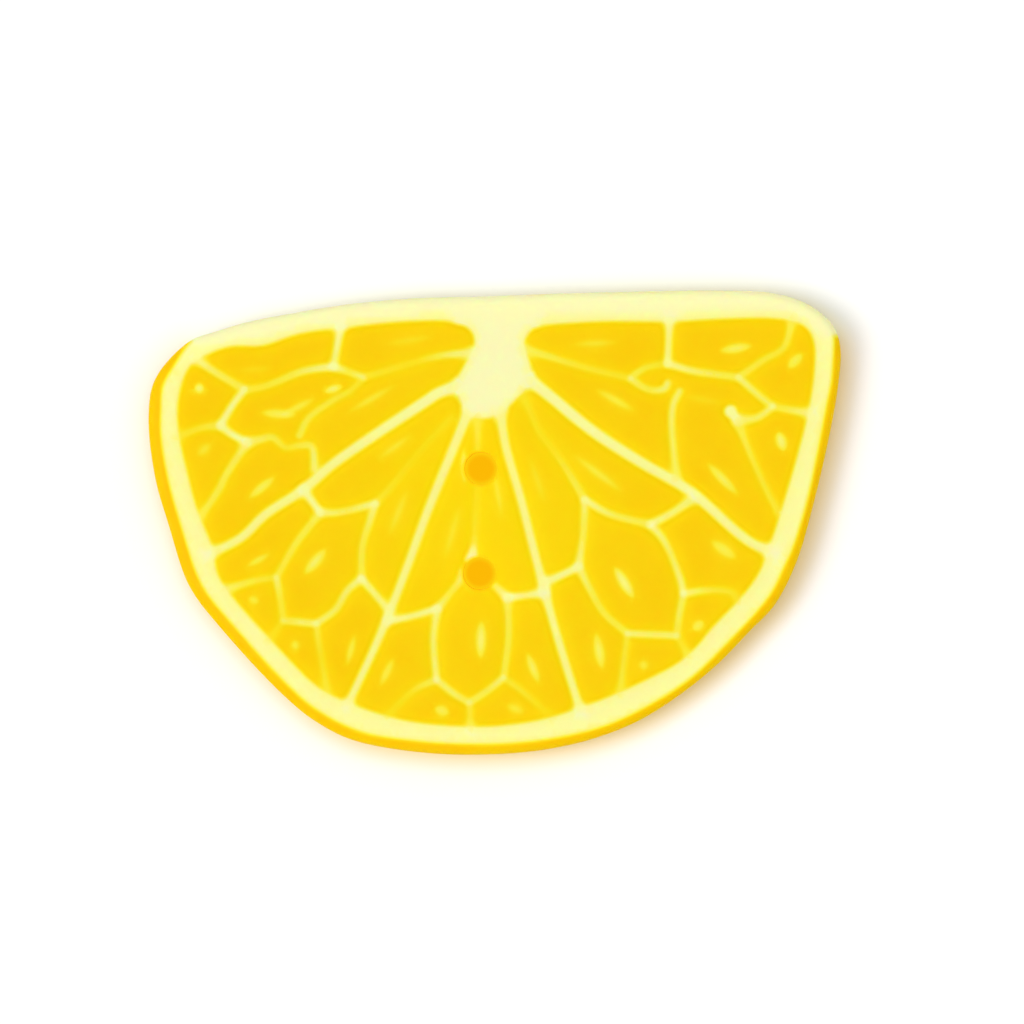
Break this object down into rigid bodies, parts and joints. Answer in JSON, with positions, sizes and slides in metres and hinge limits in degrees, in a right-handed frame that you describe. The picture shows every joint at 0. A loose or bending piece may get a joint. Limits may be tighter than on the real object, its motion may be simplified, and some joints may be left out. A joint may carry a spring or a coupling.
{
  "type": "novelty sewing button",
  "caption": "Flat sew-through button of baked clay in the form of half an orange slice, with pulp cells in low relief and a pair of sewing holes.",
  "frame": {"origin": "middle of the flat back, below the centre of the button's box", "axes": "+X along the straight cut edge, +Y in the plane of the face towards the cut edge, +Z out of the face"},
  "size_m": [0.032, 0.0214, 0.003],
  "materials": {
    "baked_clay": "satin golden yellow clay with a pale yellow pattern of pith and membranes"
  },
  "bodies": {
    "root": {"orange_slice_button": "baked_clay"}
  },
  "joints": []
}
